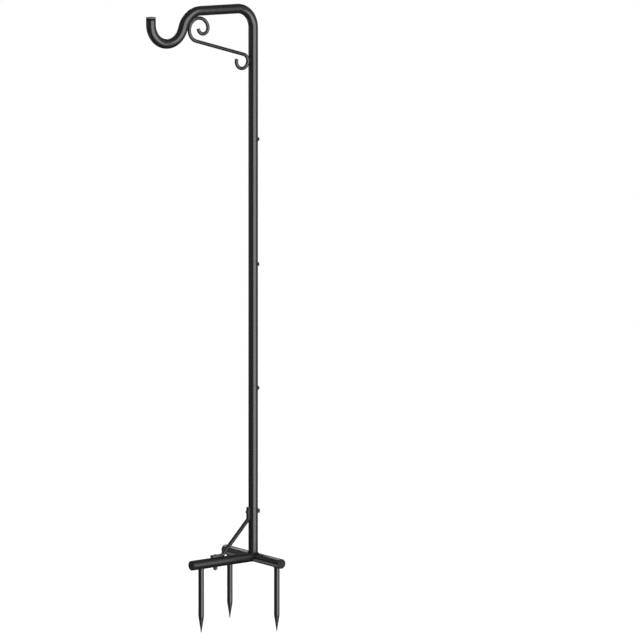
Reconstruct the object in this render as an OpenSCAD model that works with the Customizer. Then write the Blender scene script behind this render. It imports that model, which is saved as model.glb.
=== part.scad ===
// Ground-spike plant stand: a pole in screwed sections that ends in a hanging hook,
// on a T-shaped base of two tubes with three spikes and a bolted strap brace.
// Z = 0 is the ground line, level with the underside of the base tubes. The pole stands
// on the Z axis, the hook and the long base tube point to -X, and the cross tube lies on Y.

/* [Pole] */
// Outer diameter of the pole tube
pole_d = 25.4; // [22:0.1:30]
// Wall of the pole tube
pole_wall = 1.5; // [1.2:0.1:2]
// Distance between one joint of the pole and the next
joint_pitch = 331; // [200:1:420]
// Height of the hook's arm axis above the highest joint screw
arm_rise = 346.1; // [300:0.1:420]
// Height of a tube's rim above the screw that holds it
rim_above_screw = 10; // [8:0.5:18]
// Length of the narrowed end that slides into the tube below
spigot_len = 48; // [30:1:70]
// Radial play between a narrowed end and the tube around it
spigot_play = 0.2; // [0.1:0.05:0.4]

/* [Hook] */
// Distance from the pole's axis to the axis of the hook's tip
reach = 329; // [310:0.5:380]
// Centre-line radius of the bend from pole to arm
corner_bend = 51.5; // [40:0.5:70]
// Centre-line radius of the bend that drops from the arm
shoulder_bend = 56.5; // [54:0.5:64]
// Centre-line radius of the open hook
throat_bend = 52; // [40:0.5:60]
// Straight tube between those two bends
neck_len = 3; // [1:0.5:12]
// Lean of that neck from vertical
neck_lean = 16.5; // [8:0.5:25]
// Straight tube above the open hook, at its tip
tip_rise = 11.5; // [6:0.5:40]

/* [Scroll brace] */
// Diameter of the scroll's round rod
rod_d = 9.4; // [7:0.1:11]
// Centre-line radius of the large loop
loop_bend = 30.3; // [26:0.1:32]
// Centre-line radius of the curl inside the loop
curl_bend = 15.5; // [13:0.1:17]
// Centre-line radius of the small curl at the pole
foot_bend = 18.7; // [15:0.1:24]
// Direction from the shoulder bend's centre in which the loop touches the tube
nest_angle = 121.3; // [112:0.1:130]
// Direction in which the inner curl runs into the loop
merge_angle = 16; // [0:1:30]
// Turn of the inner curl from its free end
curl_turn = 186; // [150:1:210]
// Height of the hook's arm axis above the centre of the curl at the pole
foot_drop = 138.4; // [125:0.1:170]
// Turn of the curl at the pole, from the straight run to its free end
foot_turn = 271; // [220:1:290]
// Length of the weld beads beside the scroll
scroll_weld_len = 12; // [6:0.5:20]

/* [Base] */
// Outer diameter of the base tubes
arm_d = 26; // [24:0.1:32]
// Wall of the base tubes
arm_wall = 1.5; // [1.2:0.1:2.5]
// Distance from the pole's axis to the end of the long tube
long_arm_len = 202; // [190:1:260]
// Length of the cross tube
cross_len = 245; // [230:1:320]
// Distance of the long tube's spike from that tube's end
long_spike_inset = 30; // [18:1:45]
// Distance of each cross-tube spike from that tube's end
cross_spike_inset = 18.5; // [16:0.5:60]
// Diameter of the spikes
spike_d = 14.9; // [12:0.1:18]
// Length of a spike below the base tubes
spike_len = 171; // [120:1:240]
// Length of a spike's point
point_len = 43; // [20:1:60]
// Diameter of the blunted tip
tip_d = 1.6; // [1:0.1:4]
// Diameter of the stub that fixes a spike in its tube
tang_d = 10; // [6:0.5:11]
// Size of the weld bead around the top of each spike
spike_bead = 1.2; // [0.5:0.1:2]
// Size of the weld beads at the pole's foot and on the scroll
bead = 2; // [1:0.1:3]

/* [Strap brace] */
// Width of the strap
strap_w = 10; // [9:0.1:14]
// Thickness of the strap
strap_t = 6.4; // [3:0.1:7]
// Height of the upper bolt above the ground line
brace_z = 135.5; // [120:0.5:200]
// Distance of the lower bolt from the pole's axis
brace_x = 125.3; // [110:0.1:140]
// Straight strap between the upper bolt and its bend
upper_tab = 16; // [14:0.5:26]
// Straight strap between the lower bolt and its bend
lower_tab = 19.5; // [14:0.5:30]
// Strap beyond each bolt
tab_end = 13; // [8:0.5:16]
// Centre-line radius of the strap's bends
strap_bend = 7; // [5:0.5:10]

/* [Fasteners and caps] */
// Diameter of the screws and bolts
screw_d = 6; // [4:0.5:6]
// Diameter of the pan heads
head_d = 10.4; // [9:0.1:11]
// Height of the straight rim of a pan head
head_rim = 2.4; // [0.6:0.1:3]
// Height of the same rim on the joint screws, whose heads are taller
joint_head_rim = 3.4; // [0.6:0.1:4]
// Height of the same rim on the foot bolt, whose head is flatter
foot_head_rim = 0.3; // [0.2:0.1:2]
// Height of the crown above that rim
head_crown = 1.8; // [1:0.1:3]
// Reach of a joint screw below its head
joint_screw_len = 10; // [8.5:0.5:12]
// Width across the flats of a nut in a pole joint
nut_flats = 10; // [8:0.1:10]
// Width across the flats of the strap's nuts
brace_nut_flats = 11; // [9:0.1:13]
// Height of a nut
nut_h = 5; // [3:0.1:6]
// Diameter of a washer
washer_d = 12; // [11:0.5:16]
// Thickness of a washer
washer_t = 1.4; // [0.8:0.1:2]
// Thread that shows beyond a nut
thread_end = 2.4; // [1:0.1:6]
// Height of the round edge of the cap on the hook's tip
tip_cap_rim = 3.3; // [0.6:0.1:6]
// Height of the dome on that cap
tip_cap_crown = 1.2; // [1:0.1:8]
// Height of the collar under that cap
cap_collar_h = 4.3; // [1:0.1:6]
// How much narrower than the tube that collar is
cap_collar_in = 0.2; // [0.1:0.1:2]
// Thickness of the caps on the base tubes
arm_cap_h = 3; // [2:0.5:8]
// Rounding of a cap's edge
cap_round = 1.6; // [0.5:0.1:1.9]
// Length of the hook cap's plug inside its tube
tip_plug_len = 11; // [6:0.5:11]
// Gap between a base cap's plug and the spike's stub beside it
plug_gap = 2; // [1:0.5:4]

/* [Hidden] */
$fn = 64;
sliver = 0.05;            // play between faces that only meet
edge = 0.3;               // chamfer of a tube's rim
hole_play = 0.3;          // radial play of a screw in its hole
recess_w = 1.3;           // arm width of the cross recess
recess_span = 5.4;        // span of the cross recess
recess_deep = 1.9;        // depth of the cross recess
grip = 0.1;               // radial play of a plug or stub
taper_len = 10;           // cone inside a tube above its narrowed end
lap = 0.3;                // how far a straight run covers the ends of its bends
shy = 0.1;                // how far a bend ends inside that lap
draw_in = 0.01;           // how much thinner the bar is in its bends
rod_bevel = 1;            // bevel at the scroll's free ends
arc_steps = 12;           // pieces of a bend in the strap's outline
tang_len = 3;             // stub that stands inside the base tube
post_edge = 1;            // how far the foot of the pole is kept above the tube's axis

pole_r = pole_d / 2;
pole_in = pole_r - pole_wall;
spigot_r = pole_in - spigot_play;
spigot_in = spigot_r - pole_wall;
rod_r = rod_d / 2;
arm_r = arm_d / 2;
arm_in = arm_r - arm_wall;
arm_z = arm_r;
spike_r = spike_d / 2;
tang_r = tang_d / 2;
long_spike_at = long_arm_len - long_spike_inset;
cross_spike_at = cross_len / 2 - cross_spike_inset;
base_plug_len = cross_spike_inset - tang_r - plug_gap;
shank_r = screw_d / 2;
hole_r = shank_r + hole_play;

// heights of the tube rims and of the screws below them, from the base upwards
rim_z = [for (i = [0:3]) brace_z + rim_above_screw + i * joint_pitch];
screw_z = [for (i = [1:3]) brace_z + i * joint_pitch];
hook_z = screw_z[2] + arm_rise;

// centres of the hook's bends in the XZ plane
throat_x = -(reach - throat_bend);
shoulder_x = throat_x + (throat_bend + shoulder_bend) * cos(neck_lean) + neck_len * sin(neck_lean);
shoulder_z = hook_z - shoulder_bend;
arm_run = -corner_bend - shoulder_x;
throat_z = shoulder_z + (throat_bend + shoulder_bend) * sin(neck_lean) - neck_len * cos(neck_lean);
tip_z = throat_z + tip_rise;

// centres of the scroll's bends in the XZ plane
nest = shoulder_bend - pole_r - rod_r - loop_bend - sliver;
loop_x = shoulder_x + nest * cos(nest_angle);
loop_z = shoulder_z + nest * sin(nest_angle);
curl_x = loop_x + (loop_bend - curl_bend) * cos(merge_angle);
curl_z = loop_z + (loop_bend - curl_bend) * sin(merge_angle);
foot_x = -(pole_r + rod_r + foot_bend + sliver);
foot_z = hook_z - foot_drop;
run_span = norm([foot_x - loop_x, foot_z - loop_z]);
run_angle = atan2(foot_z - loop_z, foot_x - loop_x) - acos((loop_bend + foot_bend) / run_span);
run_len = sqrt(pow(run_span, 2) - pow(loop_bend + foot_bend, 2));

// centre lines of the strap in the XZ plane
tab_x = -(pole_r + sliver + strap_t / 2);
tab_z = arm_d + sliver + strap_t / 2;
bend_top = [tab_x - strap_bend, brace_z - upper_tab];
bend_low = [-(brace_x - lower_tab), tab_z + strap_bend];
strap_lean = atan2(bend_top.x - bend_low.x, bend_top.y - bend_low.y);

coat = [0.15, 0.15, 0.155];
steel = [0.2, 0.2, 0.21];
plastic = [0.3, 0.3, 0.31];

// ---- bent bars ----

// Round bar along a list of [straight run, bend radius, turn] steps, starting at the
// origin along +Z; a positive turn bends it toward -X and a negative one toward +X, and
// what follows the module is placed at the bar's end
module bent_bar(steps, r, i = 0) {
    run = steps[i][0];
    bend = steps[i][1];
    turn = steps[i][2];
    side = sign(turn);
    below = i > 0 ? lap : 0;
    above = turn != 0 ? lap : 0;
    translate([0, 0, -below]) cylinder(r = r, h = below + run + above);
    if (turn != 0) {
        hidden = shy / bend * 180 / PI;
        translate([0, 0, run]) rotate([0, 0, side > 0 ? 0 : 180]) translate([-bend, 0, 0])
            rotate([0, -hidden, 0]) rotate([90, 0, 0])
                rotate_extrude(angle = abs(turn) - 2 * hidden) translate([bend, 0]) circle(r = r - draw_in);
    }
    translate([-side * bend, 0, run]) rotate([0, -turn, 0]) translate([side * bend, 0, 0])
        if (i + 1 < len(steps)) bent_bar(steps, r, i + 1) children();
        else children();
}

// Part of a bent round bar in the XZ plane, halfway at an angle about the bend's centre
module bar_arc(x, z, bend, r, middle, turn) {
    translate([x, 0, z]) rotate([0, turn / 2 - middle, 0]) rotate([90, 0, 0])
        rotate_extrude(angle = turn) translate([bend, 0]) circle(r = r);
}

// ---- pole and hook ----

// Half outlines of a pole tube's lower end, up to its full radius: outside and inside
function foot_outside(low) = [
    [0, low - spigot_len], [spigot_r - edge, low - spigot_len],
    [spigot_r, low - spigot_len + edge], [spigot_r, low], [pole_r - edge, low], [pole_r, low + edge]
];
function foot_inside(low) = [
    [0, low - spigot_len - 1], [spigot_in, low - spigot_len - 1],
    [spigot_in, low], [pole_in, low + taper_len]
];

// Hole for a joint screw, on the side away from the hook
module side_hole(z) {
    translate([0, 0, z]) rotate([0, 90, 0]) cylinder(r = hole_r, h = pole_d);
}

// Hole right through, along X
module through_hole(z) {
    translate([-pole_d, 0, z]) rotate([0, 90, 0]) cylinder(r = hole_r, h = 2 * pole_d);
}

// One straight section of the pole, between its own rim at high and the rim below at low
module pole_section(low, high) {
    difference() {
        rotate_extrude() polygon(concat(foot_outside(low),
            [[pole_r, high - edge], [pole_r - edge, high], [0, high]]));
        rotate_extrude() polygon(concat(foot_inside(low), [[pole_in, high + 1], [0, high + 1]]));
        side_hole(high - rim_above_screw);
    }
}

// The hook's bends from a height on the pole to its tip, at one radius
module hook_bends(from, r, past_tip) {
    translate([0, 0, from]) bent_bar([
        [hook_z - corner_bend - from, corner_bend, 90],
        [arm_run, shoulder_bend, 90 - neck_lean],
        [neck_len, throat_bend, neck_lean - 180],
        [tip_rise + past_tip, 0, 0]
    ], r);
}

module hook_tube() {
    low = rim_z[3];
    color(coat) difference() {
        union() {
            rotate_extrude() polygon(concat(foot_outside(low), [[0, low + edge]]));
            hook_bends(low + edge, pole_r, 0);
        }
        union() {
            rotate_extrude() polygon(concat(foot_inside(low), [[0, low + taper_len]]));
            hook_bends(low + taper_len, pole_in, 1);
        }
        side_hole(screw_z[2]);
    }
}

module upper_pole() {
    color(coat) difference() {
        pole_section(rim_z[2], rim_z[3]);
        side_hole(screw_z[1]);
    }
}

module middle_pole() {
    color(coat) difference() {
        pole_section(rim_z[1], rim_z[2]);
        side_hole(screw_z[0]);
    }
}

module lower_pole() {
    color(coat) difference() {
        pole_section(rim_z[0], rim_z[1]);
        through_hole(brace_z);
    }
}

// ---- scroll brace ----

// One bar from the free end of the inner curl, round the loop, along the straight run and
// round the curl at the pole
module scroll_rod() {
    start = merge_angle - curl_turn;
    loop_turn = run_angle + 360 - merge_angle;
    color(coat) translate([curl_x + curl_bend * cos(start), 0, curl_z + curl_bend * sin(start)])
        rotate([0, -start, 0]) translate([0, 0, -rod_bevel]) {
            translate([0, 0, -rod_bevel]) cylinder(r1 = rod_r - rod_bevel, r2 = rod_r, h = rod_bevel);
            bent_bar([
                [rod_bevel, curl_bend, curl_turn], [0, loop_bend, loop_turn],
                [run_len, foot_bend, -foot_turn], [rod_bevel, 0, 0]
            ], rod_r)
                cylinder(r1 = rod_r, r2 = rod_r - rod_bevel, h = rod_bevel);
        }
}

// Fillet beads where the loop lies against the hook's shoulder
module shoulder_weld() {
    turn = scroll_weld_len / (loop_bend + rod_r) * 180 / PI;
    color(coat) difference() {
        intersection() {
            bar_arc(shoulder_x, shoulder_z, shoulder_bend, pole_r + bead, nest_angle, 2 * turn);
            bar_arc(loop_x, loop_z, loop_bend, rod_r + bead, nest_angle, turn);
        }
        bar_arc(shoulder_x, shoulder_z, shoulder_bend, pole_r + sliver, nest_angle, 3 * turn);
        bar_arc(loop_x, loop_z, loop_bend, rod_r + sliver, nest_angle, 2 * turn);
    }
}

// Fillet beads where the lower curl lies against the pole
module foot_weld() {
    turn = scroll_weld_len / (foot_bend + rod_r) * 180 / PI;
    color(coat) difference() {
        intersection() {
            translate([0, 0, foot_z - foot_bend]) cylinder(r = pole_r + bead, h = 2 * foot_bend);
            bar_arc(foot_x, foot_z, foot_bend, rod_r + bead, 0, turn);
        }
        translate([0, 0, foot_z - foot_bend - 1]) cylinder(r = pole_r + sliver, h = 2 * foot_bend + 2);
        bar_arc(foot_x, foot_z, foot_bend, rod_r + sliver, 0, 2 * turn);
    }
}

// ---- base ----

// Solid round bars on the axes of the base tubes and of the pole's foot, wider by grow
module long_axis_bar(grow) {
    translate([-long_arm_len, 0, arm_z]) rotate([0, 90, 0]) cylinder(r = arm_r + grow, h = long_arm_len);
}

module cross_axis_bar(grow) {
    translate([0, cross_len / 2, arm_z]) rotate([90, 0, 0]) cylinder(r = arm_r + grow, h = cross_len);
}

module post_axis_bar(grow) {
    translate([0, 0, arm_z + post_edge]) cylinder(r = pole_r + grow, h = 2 * arm_d);
}

module spike_hole(x, y) {
    translate([x, y, -1]) cylinder(r = tang_r + grip, h = arm_wall * 2 + 1);
}

module base_post() {
    color(coat) difference() {
        rotate_extrude() polygon([
            [pole_in, arm_z + post_edge], [pole_r, arm_z + post_edge],
            [pole_r, rim_z[0] - edge], [pole_r - edge, rim_z[0]], [pole_in, rim_z[0]]
        ]);
        cross_axis_bar(sliver);
        long_axis_bar(sliver);
        through_hole(brace_z);
    }
}

module long_base_tube() {
    color(coat) difference() {
        long_axis_bar(0);
        translate([-long_arm_len - 1, 0, arm_z]) rotate([0, 90, 0])
            cylinder(r = arm_in, h = long_arm_len + 2);
        cross_axis_bar(sliver);
        spike_hole(-long_spike_at, 0);
        translate([-brace_x, 0, -1]) cylinder(r = hole_r, h = arm_d + 2);
    }
}

module cross_base_tube() {
    color(coat) difference() {
        cross_axis_bar(0);
        translate([0, cross_len / 2 + 1, arm_z]) rotate([90, 0, 0])
            cylinder(r = arm_in, h = cross_len + 2);
        for (side = [-1, 1]) spike_hole(0, side * cross_spike_at);
    }
}

// Fillet beads where the pole's foot and the two base tubes meet
module hub_weld() {
    color(coat) difference() {
        union() {
            intersection() {
                post_axis_bar(bead);
                cross_axis_bar(bead);
            }
            intersection() {
                post_axis_bar(bead);
                long_axis_bar(bead);
            }
            intersection() {
                long_axis_bar(bead);
                cross_axis_bar(bead);
                translate([-arm_d, -arm_d, bead]) cube([arm_d, 2 * arm_d, arm_d - 2 * bead]);
            }
        }
        post_axis_bar(sliver);
        cross_axis_bar(sliver);
        long_axis_bar(sliver);
        cylinder(r = pole_r, h = arm_d);
    }
}

// Spike with a weld bead at its top and a stub in the tube above; the bead's top is cut
// to the tube's round
module spike(x, y, along_x) {
    straight = spike_len - point_len - spike_bead;
    top_r = spike_r + spike_bead;
    color(coat) difference() {
        translate([x, y, 0]) {
            translate([0, 0, -spike_len]) cylinder(r1 = tip_d / 2, r2 = spike_r, h = point_len);
            translate([0, 0, point_len - spike_len]) cylinder(r = spike_r, h = straight);
            translate([0, 0, -spike_bead]) cylinder(r1 = spike_r, r2 = top_r, h = spike_bead);
            cylinder(r = top_r, h = arm_r / 2);
        }
        translate([x, y, arm_z]) rotate([0, 0, along_x ? 0 : 90]) rotate([0, 90, 0])
            cylinder(r = arm_r + sliver, h = 2 * arm_d, center = true);
    }
    color(coat) translate([x, y, -spike_bead])
        cylinder(r = tang_r, h = spike_bead + arm_wall + tang_len);
}

module long_tube_spike() {
    spike(-long_spike_at, 0, true);
}

module front_cross_spike() {
    spike(0, -cross_spike_at, false);
}

module rear_cross_spike() {
    spike(0, cross_spike_at, false);
}

// ---- strap brace ----

function arc_points(centre, r, from, to) =
    [for (i = [0:arc_steps]) let (a = from + (to - from) * i / arc_steps) centre + r * [cos(a), sin(a)]];

// The strap's side view, drawn in XZ as X and Y; both bends' centres lie on its upper left
module strap_side() {
    outer = strap_bend + strap_t / 2;
    inner = strap_bend - strap_t / 2;
    polygon(concat(
        [[tab_x + strap_t / 2, brace_z + tab_end]],
        arc_points(bend_top, outer, 0, -strap_lean),
        arc_points(bend_low, outer, -strap_lean, -90),
        [for (side = [-1, 1]) [-(brace_x + tab_end), tab_z + side * strap_t / 2]],
        arc_points(bend_low, inner, -90, -strap_lean),
        arc_points(bend_top, inner, -strap_lean, 0),
        [[tab_x - strap_t / 2, brace_z + tab_end]]
    ));
}

module brace_strap() {
    color(coat) difference() {
        translate([0, strap_w / 2, 0]) rotate([90, 0, 0]) linear_extrude(strap_w) strap_side();
        through_hole(brace_z);
        translate([-brace_x, 0, 0]) cylinder(r = hole_r, h = 2 * arm_d);
    }
}

// ---- fasteners, each along +Z with the underside of its head at 0 ----

// Disc with a straight rim and a domed top
module domed(r, rim, crown) {
    crown_r = (pow(r, 2) + pow(crown, 2)) / (2 * crown);
    intersection() {
        cylinder(r = r, h = rim + crown);
        translate([0, 0, rim + crown - crown_r]) sphere(r = crown_r, $fn = 128);
    }
}

module pan_head(rim) {
    difference() {
        domed(head_d / 2, rim, head_crown);
        for (turn = [0, 90])
            rotate([0, 0, turn])
                translate([-recess_span / 2, -recess_w / 2, rim + head_crown - recess_deep])
                    cube([recess_span, recess_w, recess_deep + 1]);
    }
}

module pan_screw(len, rim) {
    union() {
        pan_head(rim);
        translate([0, 0, 1 - len]) cylinder(r = shank_r, h = len - 1);
        translate([0, 0, -len]) cylinder(r1 = shank_r - 1, r2 = shank_r, h = 1);
    }
}

module hex_nut(flats) {
    nut_r = flats / 2 / cos(30);
    corner = (nut_r - flats / 2) / 2;
    difference() {
        intersection() {
            cylinder(r = nut_r, h = nut_h, $fn = 6);
            rotate_extrude() polygon([[0, 0], [flats / 2, 0], [nut_r, corner],
                [nut_r, nut_h - corner], [flats / 2, nut_h], [0, nut_h]]);
        }
        translate([0, 0, -1]) cylinder(r = shank_r + sliver, h = nut_h + 2);
    }
}

module washer() {
    difference() {
        cylinder(r = washer_d / 2, h = washer_t);
        translate([0, 0, -1]) cylinder(r = hole_r, h = washer_t + 2);
    }
}

module joint_screw(z) {
    color(steel) translate([pole_r + sliver, 0, z]) rotate([0, 90, 0])
        pan_screw(joint_screw_len, joint_head_rim);
}

// Nut welded inside the narrowed end, its face cut to the round of the wall
module joint_nut(z) {
    color(steel) intersection() {
        translate([spigot_in - nut_h, 0, z]) rotate([0, 90, 0]) hex_nut(nut_flats);
        translate([0, 0, z - nut_flats]) cylinder(r = spigot_in - sliver, h = 2 * nut_flats);
    }
}

module upper_joint_screw() {
    joint_screw(screw_z[2]);
}

module middle_joint_screw() {
    joint_screw(screw_z[1]);
}

module lower_joint_screw() {
    joint_screw(screw_z[0]);
}

module upper_joint_nut() {
    joint_nut(screw_z[2]);
}

module middle_joint_nut() {
    joint_nut(screw_z[1]);
}

module lower_joint_nut() {
    joint_nut(screw_z[0]);
}

// The upper bolt runs through strap and pole to a nut on the side away from the hook
module at_top_nut(out) {
    translate([pole_r + sliver + out, 0, brace_z]) rotate([0, 90, 0]) children();
}

module brace_top_bolt() {
    head_at = pole_r + strap_t + 2 * sliver;
    color(steel) translate([-head_at, 0, brace_z]) rotate([0, -90, 0])
        pan_screw(head_at + pole_r + sliver + washer_t + nut_h + thread_end, head_rim);
}

module brace_top_washer() {
    color(steel) at_top_nut(0) washer();
}

module brace_top_nut() {
    color(steel) at_top_nut(washer_t + sliver) rotate([0, 0, 30]) hex_nut(brace_nut_flats);
}

// The lower bolt drops through strap and long tube to a nut underneath
module at_foot_nut(out) {
    translate([-brace_x, 0, -sliver - out]) rotate([180, 0, 0]) children();
}

module brace_foot_bolt() {
    head_at = arm_d + strap_t + 2 * sliver;
    color(steel) translate([-brace_x, 0, head_at])
        pan_screw(head_at + sliver + washer_t + nut_h + thread_end, foot_head_rim);
}

module brace_foot_washer() {
    color(steel) at_foot_nut(0) washer();
}

module brace_foot_nut() {
    color(steel) at_foot_nut(washer_t + sliver) hex_nut(brace_nut_flats);
}

// ---- caps, each with the tube's end at Z = 0 and its plug below ----

module cap_plug(bore_r, len) {
    translate([0, 0, -len]) cylinder(r1 = bore_r - grip - 1, r2 = bore_r - grip, h = 2);
    translate([0, 0, 2 - len]) cylinder(r = bore_r - grip, h = len - 2 + sliver);
}

module hook_end_cap() {
    color(plastic) translate([-reach, 0, tip_z]) {
        cap_plug(pole_in, tip_plug_len);
        translate([0, 0, sliver]) cylinder(r = pole_r - cap_collar_in, h = cap_collar_h);
        translate([0, 0, sliver + cap_collar_h]) domed(pole_r, tip_cap_rim, tip_cap_crown);
    }
}

module base_cap() {
    color(plastic) {
        cap_plug(arm_in, base_plug_len);
        translate([0, 0, sliver]) rotate_extrude() {
            square([arm_r, arm_cap_h - cap_round]);
            square([arm_r - cap_round, arm_cap_h]);
            translate([arm_r - cap_round, arm_cap_h - cap_round]) circle(r = cap_round);
        }
    }
}

module long_tube_cap() {
    translate([-long_arm_len, 0, arm_z]) rotate([0, -90, 0]) base_cap();
}

module front_cross_cap() {
    translate([0, -cross_len / 2, arm_z]) rotate([90, 0, 0]) base_cap();
}

module rear_cross_cap() {
    translate([0, cross_len / 2, arm_z]) rotate([-90, 0, 0]) base_cap();
}

hook_tube();
hook_end_cap();
scroll_rod();
shoulder_weld();
foot_weld();
upper_pole();
middle_pole();
lower_pole();
base_post();
upper_joint_screw();
middle_joint_screw();
lower_joint_screw();
upper_joint_nut();
middle_joint_nut();
lower_joint_nut();
long_base_tube();
cross_base_tube();
hub_weld();
long_tube_cap();
front_cross_cap();
rear_cross_cap();
long_tube_spike();
front_cross_spike();
rear_cross_spike();
brace_strap();
brace_top_bolt();
brace_top_washer();
brace_top_nut();
brace_foot_bolt();
brace_foot_washer();
brace_foot_nut();
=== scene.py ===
import math

import bmesh
import bpy
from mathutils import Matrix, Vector


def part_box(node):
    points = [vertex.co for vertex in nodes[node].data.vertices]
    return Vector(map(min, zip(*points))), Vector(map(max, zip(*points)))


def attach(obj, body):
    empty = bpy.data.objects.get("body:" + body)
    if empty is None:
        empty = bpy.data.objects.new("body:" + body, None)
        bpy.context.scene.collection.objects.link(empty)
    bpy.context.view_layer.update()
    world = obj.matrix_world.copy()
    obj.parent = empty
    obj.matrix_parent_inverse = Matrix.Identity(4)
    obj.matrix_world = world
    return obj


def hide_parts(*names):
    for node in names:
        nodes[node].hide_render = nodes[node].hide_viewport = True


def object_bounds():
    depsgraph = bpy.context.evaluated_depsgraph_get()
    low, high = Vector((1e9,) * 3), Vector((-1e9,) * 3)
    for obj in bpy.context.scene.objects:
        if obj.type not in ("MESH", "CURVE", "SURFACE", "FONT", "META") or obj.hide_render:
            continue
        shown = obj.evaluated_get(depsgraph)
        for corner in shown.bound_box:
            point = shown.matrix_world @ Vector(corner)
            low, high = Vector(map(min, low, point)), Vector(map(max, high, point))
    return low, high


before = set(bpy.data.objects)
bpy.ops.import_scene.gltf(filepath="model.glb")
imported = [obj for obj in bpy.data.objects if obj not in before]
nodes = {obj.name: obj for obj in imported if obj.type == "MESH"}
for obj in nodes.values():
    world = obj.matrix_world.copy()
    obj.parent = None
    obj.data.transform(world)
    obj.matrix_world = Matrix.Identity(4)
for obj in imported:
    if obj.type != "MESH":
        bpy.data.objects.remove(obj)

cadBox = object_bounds()
tiny = 0.00001                # metres; places nearer than this count as one
millimetre = 0.001
bpy.ops.object.select_all(action="DESELECT")
print("frame: %d nodes" % len(nodes))

camera = {
    "turn": 37.0,             # degrees round the pole from straight ahead
    "tilt": 8.44,             # degrees down
    "away": 11.536,           # metres from the pole's axis
    "height": 2.3612,
    "lens": 248.4,
    "sensor": 36.0,
    "shift": 0.10445,         # the stand is left of the photograph's middle
}


def fromCamera(degrees, distance):
    # a place on the ground line, turned to the photograph's right from the camera's side
    angle = math.radians(camera["turn"])
    side = math.radians(degrees)
    towards = Vector((-math.sin(angle), -math.cos(angle), 0))
    right = Vector((math.cos(angle), -math.sin(angle), 0))
    return (towards * math.cos(side) + right * math.sin(side)) * distance


def makeCamera():
    place = fromCamera(0, camera["away"])
    place.z = camera["height"]
    facing = (math.radians(90 - camera["tilt"]), 0, -math.radians(camera["turn"]))
    bpy.ops.object.camera_add(location=place, rotation=facing)
    cam = bpy.context.object
    cam.name = "photoCamera"
    cam.data.lens = camera["lens"]
    cam.data.sensor_width = camera["sensor"]
    cam.data.sensor_fit = "HORIZONTAL"
    cam.data.shift_x = camera["shift"]
    bpy.context.scene.camera = cam


makeCamera()
print("camera: set")


class Wire:
    # an output of a shader node; arithmetic on it adds Math nodes
    def __init__(self, graph, out):
        self.graph = graph
        self.out = out

    def join(self, operation, first, second):
        return self.graph.add("ShaderNodeMath", {"operation": operation}, {0: first, 1: second})

    def __add__(self, other):
        return self.join("ADD", self, other)

    def __radd__(self, other):
        return self.join("ADD", other, self)

    def __mul__(self, other):
        return self.join("MULTIPLY", self, other)

    def __rmul__(self, other):
        return self.join("MULTIPLY", other, self)

    def max(self, other):
        return self.join("MAXIMUM", self, other)


class Graph:
    # the node tree of a material or of the world
    def __init__(self, owner):
        owner.use_nodes = True
        self.tree = owner.node_tree
        self.tree.nodes.clear()

    def add(self, kind, settings, inputs, out=0):
        # a node with its settings, and a value or a Wire for each of its sockets
        node = self.tree.nodes.new(kind)
        for name, value in settings.items():
            setattr(node, name, value)
        for name, value in inputs.items():
            if isinstance(value, Wire):
                self.tree.links.new(value.out, node.inputs[name])
            else:
                node.inputs[name].default_value = value
        return Wire(self, node.outputs[out]) if node.outputs else None

    def place(self):
        return self.add("ShaderNodeTexCoord", {}, {}, "Object")

    def noise(self, place, lumps, detail, rough):
        return self.add("ShaderNodeTexNoise", {}, {
            "Vector": place, "Scale": lumps, "Detail": detail, "Roughness": rough,
        }, "Fac")

    def spread(self, value, band, low=0.0, high=1.0):
        # the part of a value that lies in a band, stretched to a new range
        return self.add("ShaderNodeMapRange", {"clamp": True}, {
            "Value": value, "From Min": band[0], "From Max": band[1], "To Min": low, "To Max": high,
        })

    def blend(self, factor, first, second):
        return self.add("ShaderNodeMix", {"data_type": "RGBA"}, {
            "Factor": factor, 6: first, 7: second,
        }, 2)

    def bump(self, strength, height):
        # height is in millimetres
        return self.add("ShaderNodeBump", {}, {
            "Strength": strength, "Distance": millimetre, "Height": height,
        })

    def finish(self, settings):
        shader = self.add("ShaderNodeBsdfPrincipled", {}, settings)
        self.add("ShaderNodeOutputMaterial", {}, {"Surface": shader})


def grey(level, warm=0.0):
    # a near-neutral colour; warm above 0 leans to red, below 0 to blue
    return (level * (1 + warm), level, level * (1 - warm), 1)


# each noise is lumps per metre, detail and roughness; a band is the part of it that shows
powderCoat = {
    "dark": 0.008,            # base colour in the hollows of the texture
    "light": 0.012,
    "lean": 0.01,             # the coat leans to blue, its lighter patches to red
    "patches": (9.0, 4.0, 0.6),
    "patchBand": (0.35, 0.7),
    "patchTone": 1.15,
    "patchShare": 0.35,
    "peel": (780.0, 2.0, 0.5),
    "peelShare": 0.4,
    "peelDepth": 0.045,       # millimetres
    "grit": (3600.0, 1.0, 0.5),
    "gritShare": 0.6,
    "gritDepth": 0.015,
    "fleckBand": (0.42, 0.62),
    "roughBand": (0.3, 0.7),
    "roughLow": 0.21,
    "roughHigh": 0.25,
    "bumpStrength": 0.35,
    "specular": 0.5,
}

# the strap is flatter than the tubes, and its darker colour is painted shade
strapCoat = dict(powderCoat, dark=0.0065, light=0.01, roughLow=0.23, roughHigh=0.27, specular=0.31)


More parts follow.
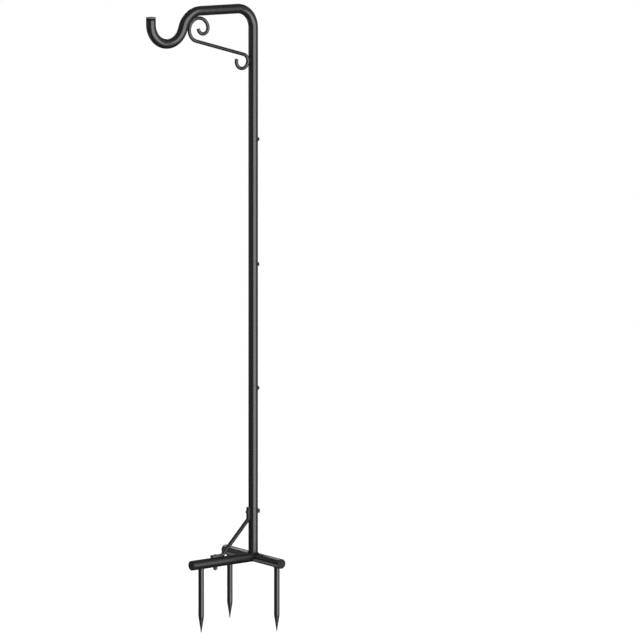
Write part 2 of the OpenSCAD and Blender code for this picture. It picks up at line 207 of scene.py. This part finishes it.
def coatMaterial(name, spec, tone=1.0, rougher=0.0):
    mat = bpy.data.materials.new(name)
    g = Graph(mat)
    place = g.place()
    patches = g.noise(place, *spec["patches"])
    peel = g.noise(place, *spec["peel"])
    grit = g.noise(place, *spec["grit"])
    fleck = g.spread(grit * spec["gritShare"] + peel * spec["peelShare"], spec["fleckBand"])
    hollow = grey(spec["dark"] * tone, -spec["lean"])
    raised = grey(spec["light"] * tone, -spec["lean"])
    patch = grey(spec["light"] * tone * spec["patchTone"], spec["lean"])
    patchShare = g.spread(patches, spec["patchBand"], 0.0, spec["patchShare"])
    shade = g.blend(patchShare, g.blend(fleck, hollow, raised), patch)
    rough = g.spread(patches * 0.5 + peel * 0.5, spec["roughBand"],
                     spec["roughLow"] + rougher, spec["roughHigh"] + rougher)
    g.finish({
        "Base Color": shade, "Roughness": rough, "Specular IOR Level": spec["specular"],
        "Normal": g.bump(spec["bumpStrength"], peel * spec["peelDepth"] + grit * spec["gritDepth"]),
    })
    return mat


plasticFinish = {
    "grain": (1500.0, 3.0, 0.6),
    "grainDepth": 0.05,
    "patches": (60.0, 3.0, 0.5),
    "toneBand": (0.35, 0.65),
    "darkTone": 0.85,
    "lightTone": 1.1,
    "roughBand": (0.3, 0.7),
    "bumpStrength": 0.3,
}

plastics = {
    # colour, lowest and highest roughness, specular level
    # the hook cap's grey is painted light from above, laid on what is black plastic
    "hookCapPaintedLightPlastic": (0.085, 0.55, 0.7, 0.3),
    # the collar's near black is painted shade in the groove under the hook cap's dome
    "collarPaintedShadePlastic": (0.003, 0.6, 0.8, 0.05),
    "baseCapPlastic": (0.011, 0.5, 0.65, 0.2),
}


def plasticMaterial(name):
    tone, roughLow, roughHigh, specular = plastics[name]
    mat = bpy.data.materials.new(name)
    g = Graph(mat)
    place = g.place()
    grain = g.noise(place, *plasticFinish["grain"])
    patches = g.noise(place, *plasticFinish["patches"])
    shade = g.blend(g.spread(patches * 0.5 + grain * 0.5, plasticFinish["toneBand"]),
                    grey(tone * plasticFinish["darkTone"]), grey(tone * plasticFinish["lightTone"]))
    g.finish({
        "Base Color": shade, "Specular IOR Level": specular,
        "Roughness": g.spread(grain, plasticFinish["roughBand"], roughLow, roughHigh),
        "Normal": g.bump(plasticFinish["bumpStrength"], grain * plasticFinish["grainDepth"]),
    })
    return mat


steelFinish = {
    "patches": (220.0, 4.0, 0.6),
    "patchBand": (0.3, 0.7),
    "patchDepth": 0.03,
    "darkTone": 0.8,
    "lightTone": 1.2,
    "rub": (900.0, 5.0, 0.7),  # fine marks where the metal shows
    "rubBand": (0.62, 0.78),
    "rubShare": 0.35,
    "rubTone": 3.0,
    "rubWarm": 0.02,
    "roughLow": 0.26,
    "roughHigh": 0.42,
    "bumpStrength": 0.25,
}

steels = {
    # colour, how metallic the rub marks are, specular level
    "screwBlack": (0.014, 0.5, 0.3),
    "nutBlack": (0.045, 0.8, 0.5),
}


def steelMaterial(name):
    # black-finished steel, smoother than the coat
    tone, metallic, specular = steels[name]
    mat = bpy.data.materials.new(name)
    g = Graph(mat)
    place = g.place()
    patches = g.noise(place, *steelFinish["patches"])
    rub = g.spread(g.noise(place, *steelFinish["rub"]), steelFinish["rubBand"])
    shade = g.blend(g.spread(patches, steelFinish["patchBand"]),
                    grey(tone * steelFinish["darkTone"]), grey(tone * steelFinish["lightTone"]))
    shade = g.blend(rub * steelFinish["rubShare"], shade,
                    grey(tone * steelFinish["rubTone"], steelFinish["rubWarm"]))
    g.finish({
        "Base Color": shade, "Metallic": rub * metallic, "Specular IOR Level": specular,
        "Roughness": g.spread(patches, steelFinish["patchBand"],
                              steelFinish["roughLow"], steelFinish["roughHigh"]),
        "Normal": g.bump(steelFinish["bumpStrength"], patches * steelFinish["patchDepth"]),
    })
    return mat


def dress(material, *names):
    for name in names:
        node = nodes[name]
        node.data.materials.clear()
        node.data.materials.append(material)


dress(coatMaterial("hookCoat", powderCoat), "hook_tube", "shoulder_weld", "foot_weld")
# a tone below 1 makes darker copies of the one coat for the scroll and the base, painted shade
dress(coatMaterial("scrollCoat", powderCoat, tone=0.95, rougher=-0.02), "scroll_rod")
dress(coatMaterial("poleCoat", powderCoat), "upper_pole", "middle_pole", "lower_pole")
dress(coatMaterial("baseCoat", powderCoat, tone=0.95, rougher=0.02),
      "base_post", "long_base_tube", "cross_base_tube", "hub_weld")
dress(coatMaterial("spikeCoat", powderCoat, rougher=-0.02),
      "long_tube_spike", "front_cross_spike", "rear_cross_spike")
dress(coatMaterial("strapCoat", strapCoat, tone=0.95), "brace_strap")
dress(plasticMaterial("hookCapPaintedLightPlastic"), "hook_end_cap")
dress(plasticMaterial("baseCapPlastic"), "long_tube_cap", "front_cross_cap", "rear_cross_cap")
dress(steelMaterial("screwBlack"),
      "upper_joint_screw", "middle_joint_screw", "lower_joint_screw",
      "brace_top_bolt", "brace_foot_bolt")
dress(steelMaterial("nutBlack"),
      "upper_joint_nut", "middle_joint_nut", "lower_joint_nut",
      "brace_top_washer", "brace_top_nut", "brace_foot_washer", "brace_foot_nut")
print("materials: on the CAD nodes")


def startPiece(name):
    # what was just added, with its place moved into its mesh
    piece = bpy.context.object
    piece.name = name
    bpy.ops.object.transform_apply(location=True, rotation=True, scale=True)
    return piece


def objectMode():
    if bpy.context.mode != "OBJECT":
        bpy.ops.object.mode_set(mode="OBJECT")


def makeActive(piece):
    objectMode()
    bpy.ops.object.select_all(action="DESELECT")
    piece.select_set(True)
    bpy.context.view_layer.objects.active = piece


def editAll(piece):
    makeActive(piece)
    bpy.ops.object.mode_set(mode="EDIT")
    bpy.ops.mesh.select_all(action="SELECT")


def editOnly(piece, mode):
    makeActive(piece)
    bpy.ops.object.mode_set(mode="EDIT")
    bpy.ops.mesh.select_mode(type=mode)
    bpy.ops.mesh.select_all(action="DESELECT")
    return bmesh.from_edit_mesh(piece.data)


def pickFaces(piece, test):
    # edit mode, with the faces picked whose middle and normal pass the test
    for face in editOnly(piece, "FACE").faces:
        face.select_set(bool(test(face.calc_center_median(), face.normal)))
    bmesh.update_edit_mesh(piece.data)


def pickPoints(piece, mode, test):
    # edit mode, with the points picked that pass the test, or the edges whose ends both do
    mesh = editOnly(piece, mode)
    for part in (mesh.edges if mode == "EDGE" else mesh.verts):
        points = part.verts if mode == "EDGE" else [part]
        part.select_set(all(test(point.co) for point in points))
    bmesh.update_edit_mesh(piece.data)


def narrowRound(share):
    # what is picked, made narrower round the Z axis
    bpy.ops.transform.resize(value=(share, share, 1), center_override=(0, 0, 0))


def drawOut(height, share=1.0):
    # the picked face drawn out along Z, then narrowed
    bpy.ops.mesh.extrude_region_move(TRANSFORM_OT_translate={"value": (0, 0, height)})
    narrowRound(share)


def stepIn(thickness, depth=0.0):
    # a ring inside the picked face, and the face inside it sunk along Z
    bpy.ops.mesh.inset(thickness=thickness, depth=0)
    if depth:
        bpy.ops.transform.translate(value=(0, 0, -depth))


def dome(radius, crown, rings, innermost):
    # the picked top face stepped inwards in rings that lie on a ball
    ball = (radius ** 2 + crown ** 2) / (2 * crown)
    step = (radius - innermost) / rings
    below = [ball - math.sqrt(ball ** 2 - (radius - step * ring) ** 2) for ring in range(rings + 1)]
    for ring in range(rings):
        stepIn(step, below[ring + 1] - below[ring])


def applyModifier(piece, kind, **settings):
    makeActive(piece)
    bpy.ops.object.modifier_add(type=kind)
    modifier = piece.modifiers[-1]
    for name, value in settings.items():
        setattr(modifier, name, value)
    bpy.ops.object.modifier_apply(modifier=modifier.name)


def cutAway(piece, cutter):
    applyModifier(piece, "BOOLEAN", operation="DIFFERENCE", solver="EXACT", object=cutter)
    bpy.data.objects.remove(cutter)


def joinPieces(first, other):
    makeActive(first)
    other.select_set(True)
    bpy.ops.object.join()
    return first


def placeCopy(piece, name, turn, spot):
    # a copy of a piece with its own mesh, turned and moved to its spot
    makeActive(piece)
    bpy.ops.object.duplicate()
    copy = bpy.context.object
    copy.rotation_euler = turn
    copy.location = spot
    return startPiece(name)


def smoothOver(piece, degrees):
    makeActive(piece)
    bpy.ops.object.shade_smooth_by_angle(angle=math.radians(degrees))


def standIn(piece, node):
    # the piece takes a CAD node's place and material
    piece.data.materials.clear()
    piece.data.materials.append(nodes[node].data.materials[0])
    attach(piece, "root")
    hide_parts(node)


def nodeBox(node):
    low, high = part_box(node)
    return Vector(low), Vector(high)


screws = {
    "headRadius": 0.0052,
    "headSides": 56,
    "crown": 0.0018,
    "crownRings": 6,
    "crownFlat": 0.0006,
    "rimRound": 0.00025,
    "rimRoundMost": 0.3,      # of the rim's height
    "recessSpan": 0.0054,
    "recessArm": 0.0013,
    "recessDeep": 0.0019,
    "recessNarrow": 0.55,     # how far the recess narrows towards its floor
    "crest": 0.003,
    "root": 0.00245,
    "pitch": 0.001,
    "toothSize": 0.000577,
    "threadSteps": 28,
    "threadFade": ((1.2, 0.93), (0.7, 0.93), (0.3, 0.92)),  # turns from its end, width there
    "endBevel": 0.0005,
    "smooth": 32,
    "jointRim": 0.0046,
    "jointCrown": 0.0006,     # the joint screws' heads are nearly flat on top
    "topRim": 0.0024,
    "footRim": 0.0003,
    "footTurn": 27,           # degrees that the foot bolt's recess is turned
}


def makeHead(rim, crown):
    radius, deep = screws["headRadius"], screws["recessDeep"]
    bpy.ops.mesh.primitive_cylinder_add(vertices=screws["headSides"], radius=radius, depth=rim,
                                        location=(0, 0, rim / 2))
    head = startPiece("screwHead")
    pickFaces(head, lambda middle, normal: normal.z > 0.9)
    dome(radius, crown, screws["crownRings"], screws["crownFlat"])
    pickPoints(head, "EDGE", lambda point: Vector((point.x, point.y)).length > radius - tiny)
    bpy.ops.mesh.bevel(offset=min(screws["rimRound"], rim * screws["rimRoundMost"]), segments=2)
    objectMode()
    for turn in (0, math.pi / 2):
        bpy.ops.mesh.primitive_cube_add(size=1, location=(0, 0, rim + crown), rotation=(0, 0, turn),
                                        scale=(screws["recessSpan"], screws["recessArm"], 2 * deep))
        cutter = startPiece("recessCutter")
        pickFaces(cutter, lambda middle, normal: normal.z < -0.9)
        narrowRound(screws["recessNarrow"])
        objectMode()
        cutAway(head, cutter)
    return head


def makeShank(length):
    # a round core with a bevelled end, and one tooth wound round it as a thread
    pitch, tooth = screws["pitch"], screws["toothSize"]
    bpy.ops.mesh.primitive_cylinder_add(vertices=screws["threadSteps"], radius=screws["root"],
                                        depth=length + pitch / 2,
                                        location=(0, 0, pitch / 4 - length / 2))
    core = startPiece("screwCore")
    pickPoints(core, "EDGE", lambda point: point.z < tiny - length)
    bpy.ops.mesh.bevel(offset=screws["endBevel"], segments=2)
    objectMode()
    turns = int((length - screws["endBevel"]) / pitch) - 1
    start = -turns * pitch - tooth
    bpy.ops.mesh.primitive_circle_add(vertices=3, radius=tooth,
                                      rotation=(math.pi / 2, math.pi / 2, 0),
                                      location=(screws["crest"] - tooth, 0, start))
    thread = startPiece("screwThread")
    applyModifier(thread, "SCREW", axis="Z", angle=2 * math.pi, screw_offset=pitch,
                  iterations=turns, steps=screws["threadSteps"], render_steps=screws["threadSteps"])
    for reach, width in screws["threadFade"]:
        pickPoints(thread, "VERT", lambda point: point.z < start + reach * pitch)
        narrowRound(width)
    editAll(thread)
    bpy.ops.mesh.fill_holes(sides=3)
    bpy.ops.mesh.select_all(action="SELECT")
    bpy.ops.mesh.normals_make_consistent(inside=False)
    objectMode()
    return joinPieces(core, thread)


def makeScrew(rim, crown, long):
    # long is the whole length, head and all
    screw = joinPieces(makeHead(rim, crown), makeShank(long - rim - crown))
    smoothOver(screw, screws["smooth"])
    return screw


def fitScrews():
    low, high = nodeBox("upper_joint_screw")
    head = screws["jointRim"] + screws["jointCrown"]
    jointScrew = makeScrew(screws["jointRim"], screws["jointCrown"], high.x - low.x)
    for node, name in (("upper_joint_screw", "upperJointScrew"),
                       ("middle_joint_screw", "middleJointScrew"),
                       ("lower_joint_screw", "lowerJointScrew")):
        low, high = nodeBox(node)
        spot = (high.x - head, 0, (low.z + high.z) / 2)
        standIn(placeCopy(jointScrew, name, (0, math.pi / 2, 0), spot), node)
    bpy.data.objects.remove(jointScrew)

    low, high = nodeBox("brace_top_bolt")
    topBolt = makeScrew(screws["topRim"], screws["crown"], high.x - low.x)
    spot = (low.x + screws["topRim"] + screws["crown"], 0, (low.z + high.z) / 2)
    standIn(placeCopy(topBolt, "braceTopBolt", (0, -math.pi / 2, 0), spot),
            "brace_top_bolt")
    bpy.data.objects.remove(topBolt)

    low, high = nodeBox("brace_foot_bolt")
    footBolt = makeScrew(screws["footRim"], screws["crown"], high.z - low.z)
    spot = ((low.x + high.x) / 2, 0, high.z - screws["footRim"] - screws["crown"])
    standIn(placeCopy(footBolt, "braceFootBolt", (0, 0, math.radians(screws["footTurn"])), spot),
            "brace_foot_bolt")
    bpy.data.objects.remove(footBolt)


fitScrews()
print("screws: cut and threaded")

caps = {
    "sides": 72,
    "baseRadius": 0.013,
    "baseHeight": 0.003,
    "baseRound": 0.0016,
    "basePlug": 0.0114,
    "baseRim": 0.0024,        # flat ring round the dished face
    "baseSmooth": 32,
    "dishStep": 0.0003,
    "dishDeep": 0.0003,
    "dishRings": 3,
    "gateRadius": 0.0012,     # the mark of the mould's gate, in the dish's middle
    "gateHigh": 0.00022,
    "gateTaper": 0.9,
    "tipRadius": 0.0127,
    "tipRim": 0.0033,
    "tipCrown": 0.0012,
    "tipRings": 7,
    "tipFlat": 0.001,
    "tipRound": 0.0007,
    "tipCollarIn": 0.0002,
    "tipCollar": 0.0043,
    "tipPlug": 0.0111,
    "tipSmooth": 40,
    "plugWall": 0.0016,
    "plugTaper": 0.93,
    "hollowDeep": 0.85,       # of the plug's length
    "hollowTaper": 0.97,
    "ribs": 3,
    "ribHeight": 0.0006,
    "ribSlope": 0.3,          # of a rib's height, above and below its crest
    "ribDeep": 0.0001,
}


def makePlug(cap, shoulder, plug, long):
    # the face at 0 narrowed to a ribbed plug, which is then hollowed from below
    out = plug / (plug - caps["ribDeep"])
    step = (long - caps["ribs"] * caps["ribHeight"]) / (caps["ribs"] + 1)
    slope = caps["ribHeight"] * caps["ribSlope"]
    pickFaces(cap, lambda middle, normal: normal.z < -0.9 and middle.z < tiny)
    stepIn(shoulder - plug + caps["ribDeep"])
    for rib in range(caps["ribs"]):
        drawOut(-step)
        drawOut(-slope, out)
        drawOut(2 * slope - caps["ribHeight"])
        drawOut(-slope, 1 / out)
    drawOut(-step, caps["plugTaper"])
    stepIn(caps["plugWall"])
    drawOut(long * caps["hollowDeep"], caps["hollowTaper"])
    objectMode()


def makeBaseCap(long):
    # along Z with the tube's end at 0 and the plug below
    radius, top = caps["baseRadius"], caps["baseHeight"]
    bpy.ops.mesh.primitive_cylinder_add(vertices=caps["sides"], radius=radius, depth=top,
                                        location=(0, 0, top / 2))
    cap = startPiece("baseCap")
    makePlug(cap, radius, caps["basePlug"], long)
    pickPoints(cap, "EDGE", lambda point: point.z > top - tiny)
    bpy.ops.mesh.bevel(offset=caps["baseRound"], segments=5)
    pickFaces(cap, lambda middle, normal: normal.z > 0.99 and middle.z > top - tiny)
    stepIn(caps["baseRim"])
    stepIn(caps["dishStep"], caps["dishStep"] * 0.7)
    flat = radius - caps["baseRound"] - caps["baseRim"] - caps["dishStep"]
    for ring in range(caps["dishRings"]):
        stepIn((flat - caps["gateRadius"]) / caps["dishRings"], caps["dishDeep"] / (2 * ring + 2))
    drawOut(caps["gateHigh"], caps["gateTaper"])
    objectMode()
    smoothOver(cap, caps["baseSmooth"])
    return cap


def makeTipCap(long):
    # a domed top on a slightly narrower collar
    radius, rim = caps["tipRadius"], caps["tipRim"]
    bottom = caps["tipCollar"]
    top = bottom + rim
    bpy.ops.mesh.primitive_cylinder_add(vertices=caps["sides"], radius=radius, depth=rim,
                                        location=(0, 0, bottom + rim / 2))
    cap = startPiece("tipCap")
    pickFaces(cap, lambda middle, normal: normal.z < -0.9)
    stepIn(caps["tipCollarIn"])
    drawOut(-bottom)
    objectMode()
    makePlug(cap, radius - caps["tipCollarIn"], caps["tipPlug"], long)
    pickFaces(cap, lambda middle, normal: normal.z > 0.9 and middle.z > top - tiny)
    dome(radius, caps["tipCrown"], caps["tipRings"], caps["tipFlat"])
    pickPoints(cap, "EDGE", lambda point: abs(point.z - top) < tiny)
    bpy.ops.mesh.bevel(offset=caps["tipRound"], segments=4)
    objectMode()
    smoothOver(cap, caps["tipSmooth"])
    return cap


def paintCollarShade(cap, top):
    # what lies below a height gets the collar's near-black plastic, painted shade in the groove
    # under the dome
    cap.data.materials.append(plasticMaterial("collarPaintedShadePlastic"))
    for face in cap.data.polygons:
        face.material_index = int(face.center.z < top + tiny)


def fitCaps():
    high = caps["baseHeight"]
    first, last = nodeBox("long_tube_cap")
    baseCap = makeBaseCap((last.x - first.x) - high)
    standIn(placeCopy(baseCap, "longTubeCap", (0, -math.pi / 2, 0),
                      (first.x + high, 0, (first.z + last.z) / 2)),
            "long_tube_cap")
    first, last = nodeBox("front_cross_cap")
    standIn(placeCopy(baseCap, "frontCrossCap", (math.pi / 2, 0, 0),
                      (0, first.y + high, (first.z + last.z) / 2)),
            "front_cross_cap")
    first, last = nodeBox("rear_cross_cap")
    standIn(placeCopy(baseCap, "rearCrossCap", (-math.pi / 2, 0, 0),
                      (0, last.y - high, (first.z + last.z) / 2)),
            "rear_cross_cap")
    bpy.data.objects.remove(baseCap)

    first, last = nodeBox("hook_end_cap")
    above = caps["tipCollar"] + caps["tipRim"] + caps["tipCrown"]
    tipCap = makeTipCap((last.z - first.z) - above)
    spot = ((first.x + last.x) / 2, 0, last.z - above)
    cap = placeCopy(tipCap, "hookEndCap", (0, 0, 0), spot)
    standIn(cap, "hook_end_cap")
    paintCollarShade(cap, spot[2] + caps["tipCollar"])
    bpy.data.objects.remove(tipCap)


fitCaps()
print("caps: moulded")

welds = {
    "voxel": 0.0004,
    "soften": 5,
    "ripple": 0.0021,         # from one ripple of the bead to the next
    "rippleDeep": 0.00014,
    "lumpSize": 0.004,
    "lumpDeep": 0.0005,
    "tubeRadius": 0.013,
    "postFrom": 0.0208,       # above this the beads of the hub run round the post
    "shoulderSlope": 0.5,     # how far the seam at the shoulder leans along X
}
sameSpot = 0.000001           # metres; doubles in a CAD node's mesh are nearer than this


def copyOfNode(node, name):
    # a CAD node's mesh is loose triangles, so its copy is merged
    piece = bpy.data.objects.new(name, nodes[node].data.copy())
    bpy.context.collection.objects.link(piece)
    editAll(piece)
    bpy.ops.mesh.remove_doubles(threshold=sameSpot)
    objectMode()
    return piece


def makeBead(node, name, along):
    # a bead with a soft section, rippled along its seam and a little lumpy
    bead = copyOfNode(node, name)
    applyModifier(bead, "REMESH", mode="VOXEL", voxel_size=welds["voxel"])
    applyModifier(bead, "SMOOTH", factor=0.5, iterations=welds["soften"])
    lumps = bpy.data.textures.new(name, "CLOUDS")
    lumps.noise_scale = welds["lumpSize"]
    applyModifier(bead, "DISPLACE", texture=lumps, strength=welds["lumpDeep"], mid_level=0.5)
    normals = [point.normal.copy() for point in bead.data.vertices]
    for point, normal in zip(bead.data.vertices, normals):
        wave = math.sin(along(point.co) * 2 * math.pi / welds["ripple"])
        point.co += normal * (abs(wave) - 0.5) * 2 * welds["rippleDeep"]
    makeActive(bead)
    bpy.ops.object.shade_smooth()
    return bead


def roundHub(point):
    # round the post above the base tubes' middles, round the long tube's end below
    tube = welds["tubeRadius"]
    if point.z > welds["postFrom"] or point.x > 0:
        return math.atan2(point.y, point.x) * tube
    return math.atan2(point.y, point.z - tube) * tube


def alongShoulder(point):
    return point.z + welds["shoulderSlope"] * point.x


def upThePole(point):
    return point.z


standIn(makeBead("hub_weld", "hubWeld", roundHub), "hub_weld")
standIn(makeBead("shoulder_weld", "shoulderWeld", alongShoulder), "shoulder_weld")
standIn(makeBead("foot_weld", "footWeld", upThePole), "foot_weld")
print("welds: run")

rounding = {
    "strap": 0.0006,
    "nut": 0.00018,
    "washer": 0.0002,
    "segments": 3,
    "flatWithin": 1,          # degrees; faces that differ by less become one
    "sharpFrom": 50,          # degrees; edges sharper than this are taken off
    "smooth": 32,
}


def softenedNode(node, name, width):
    # the CAD shape with its sharp edges taken off
    piece = copyOfNode(node, name)
    editAll(piece)
    bpy.ops.mesh.dissolve_limited(angle_limit=math.radians(rounding["flatWithin"]))
    objectMode()
    applyModifier(piece, "BEVEL", width=width, segments=rounding["segments"], limit_method="ANGLE",
                  angle_limit=math.radians(rounding["sharpFrom"]))
    smoothOver(piece, rounding["smooth"])
    standIn(piece, node)


softenedNode("brace_strap", "braceStrap", rounding["strap"])
softenedNode("brace_top_nut", "braceTopNut", rounding["nut"])
softenedNode("brace_foot_nut", "braceFootNut", rounding["nut"])
softenedNode("brace_top_washer", "braceTopWasher", rounding["washer"])
softenedNode("brace_foot_washer", "braceFootWasher", rounding["washer"])
print("strap, nuts and washers: edges off")

studio = {
    "middle": 0.7,            # height of the cards' middle
    "keyFrom": 8.0,           # edges of the key panel, degrees right of the camera
    "keyTo": 69.5,
    "keyHeight": 7.0,
    "keyPower": 472.0,
    "keyMiddle": 1.6,
    "lampsAway": 5.0,
    "stripSide": -158.0,      # thin lamp high behind, for the tubes' top edges
    "stripLift": 37.0,
    "stripSize": (3.2, 0.7),
    "stripPower": 36.0,
    "ambient": 0.5,           # world light on rough surfaces
    "cardsAway": 8.5,
    "cardStep": 5,            # degrees from one point of a card to the next
    "floorRadius": 3.2,
    "floorSides": 96,
    "floorFade": (1.6, 3.0),  # where the floor turns into the white background
    "floorColour": 0.8,
    "floorLift": 0.39,        # what a white sweep's own brightness adds to the floor
}

# dark and grey cards round the set, seen only in reflections: left to right and
# low to high edges in degrees from the camera's side, and brightness
cards = {
    "leftCard": (-60, 1, -42, 40, 0.1),
    "farLeftCard": (-150, -60, -11, 20, 0.42),
    "farLeftUpperCard": (-150, -60, 20, 29, 0.25),
    "farLeftTopCard": (-150, -60, 29, 40, 0.03),
    "farLeftLowerCard": (-150, -60, -22, -11, 0.06),
    "lowLeftCard": (-97, -60, -42, -22, 0.1),
    "underKeyCard": (1, 66, -42, -20, 1.9),
    "rightCard": (71, 125, -20, 40, 0.38),
    "lowRightCard": (71, 125, -42, -20, 0.06),
    "backCard": (125, 210, -8, 15, 0.16),
    "lowBackCard": (125, 210, -42, -8, 0.03),
    "upperBackCard": (125, 210, 15, 40, 0.1),
    "lowCard": (-180, 180, -90, -42, 0.02),
    "highCard": (-180, 180, 40, 90, 0.15),
}


def makeKey():
    half = math.radians(studio["keyTo"] - studio["keyFrom"]) / 2
    place = fromCamera((studio["keyFrom"] + studio["keyTo"]) / 2, studio["lampsAway"])
    facing = (math.pi / 2, 0, math.atan2(place.x, -place.y))
    place.z = studio["keyMiddle"]
    bpy.ops.object.light_add(type="AREA", location=place, rotation=facing)
    key = bpy.context.object
    key.name = "keyPanel"
    key.data.shape = "RECTANGLE"
    key.data.size = 2 * studio["lampsAway"] * math.tan(half)
    key.data.size_y = studio["keyHeight"]
    key.data.energy = studio["keyPower"]


def makeStrip():
    lift = math.radians(studio["stripLift"])
    place = fromCamera(studio["stripSide"], studio["lampsAway"] * math.cos(lift))
    place.z = studio["lampsAway"] * math.sin(lift)
    bpy.ops.object.light_add(type="AREA", location=place,
                             rotation=place.to_track_quat("Z", "Y").to_euler())
    strip = bpy.context.object
    strip.name = "backStrip"
    strip.data.shape = "RECTANGLE"
    strip.data.size, strip.data.size_y = studio["stripSize"]
    strip.data.energy = studio["stripPower"]


def makeCard(name, left, right, low, high, level):
    # a curved patch of a large ball round the object
    mesh = bpy.data.meshes.new(name)
    card = bpy.data.objects.new(name, mesh)
    bpy.context.collection.objects.link(card)
    across = max(1, round((right - left) / studio["cardStep"]))
    up = max(1, round((high - low) / studio["cardStep"]))
    points, faces = [], []
    for row in range(up + 1):
        lift = math.radians(low + (high - low) * row / up)
        for column in range(across + 1):
            side = left + (right - left) * column / across
            flat = fromCamera(side, studio["cardsAway"] * math.cos(lift))
            points.append((flat.x, flat.y, studio["middle"] + studio["cardsAway"] * math.sin(lift)))
    for row in range(up):
        for column in range(across):
            corner = row * (across + 1) + column
            faces.append((corner, corner + 1, corner + across + 2, corner + across + 1))
    mesh.from_pydata(points, [], faces)
    mat = bpy.data.materials.new(name)
    g = Graph(mat)
    glow = g.add("ShaderNodeEmission", {}, {"Color": grey(1.0), "Strength": level})
    g.add("ShaderNodeOutputMaterial", {}, {"Surface": glow})
    mesh.materials.append(mat)
    card.visible_camera = False
    card.visible_diffuse = False
    card.visible_shadow = False
    card.visible_transmission = False


def shownRays(g):
    # 1 for what the camera sees, straight or through gloss and glass
    rays = ("Is Camera Ray", "Is Glossy Ray", "Is Transmission Ray")
    straight, gloss, glass = (g.add("ShaderNodeLightPath", {}, {}, ray) for ray in rays)
    return straight.max(gloss).max(glass)


def makeWorld():
    world = bpy.data.worlds.new("studioWorld")
    bpy.context.scene.world = world
    g = Graph(world)
    dim = g.add("ShaderNodeBackground", {}, {"Color": grey(1.0), "Strength": studio["ambient"]})
    white = g.add("ShaderNodeBackground", {}, {"Color": grey(1.0), "Strength": 1.0})
    both = g.add("ShaderNodeMixShader", {}, {0: shownRays(g), 1: dim, 2: white})
    g.add("ShaderNodeOutputWorld", {}, {"Surface": both})


def makeFloor():
    # level with the spikes' tips, and keeps the stand's shadow
    bpy.ops.mesh.primitive_circle_add(vertices=studio["floorSides"], radius=studio["floorRadius"],
                                      fill_type="NGON", location=(0, 0, cadBox[0][2]))
    floor = bpy.context.object
    floor.name = "floor"
    mat = bpy.data.materials.new("floorWhite")
    g = Graph(mat)
    away = g.add("ShaderNodeVectorMath", {"operation": "LENGTH"}, {0: g.place()}, "Value")
    fade = g.spread(away, studio["floorFade"])
    lit = g.add("ShaderNodeBsdfDiffuse", {}, {"Color": grey(studio["floorColour"])})
    glow = g.add("ShaderNodeEmission", {}, {
        "Color": grey(1.0), "Strength": shownRays(g) * studio["floorLift"],
    })
    sweep = g.add("ShaderNodeAddShader", {}, {0: lit, 1: glow})
    clear = g.add("ShaderNodeBsdfTransparent", {}, {"Color": grey(1.0)})
    mixed = g.add("ShaderNodeMixShader", {}, {0: fade, 1: sweep, 2: clear})
    g.add("ShaderNodeOutputMaterial", {}, {"Surface": mixed})
    floor.data.materials.append(mat)
    floor.visible_diffuse = False
    floor.visible_glossy = False
    floor.visible_shadow = False


makeKey()
makeStrip()
for cardName, card in cards.items():
    makeCard(cardName, *card)
makeWorld()
makeFloor()
bpy.context.scene.view_settings.view_transform = "Standard"
print("studio: lit")
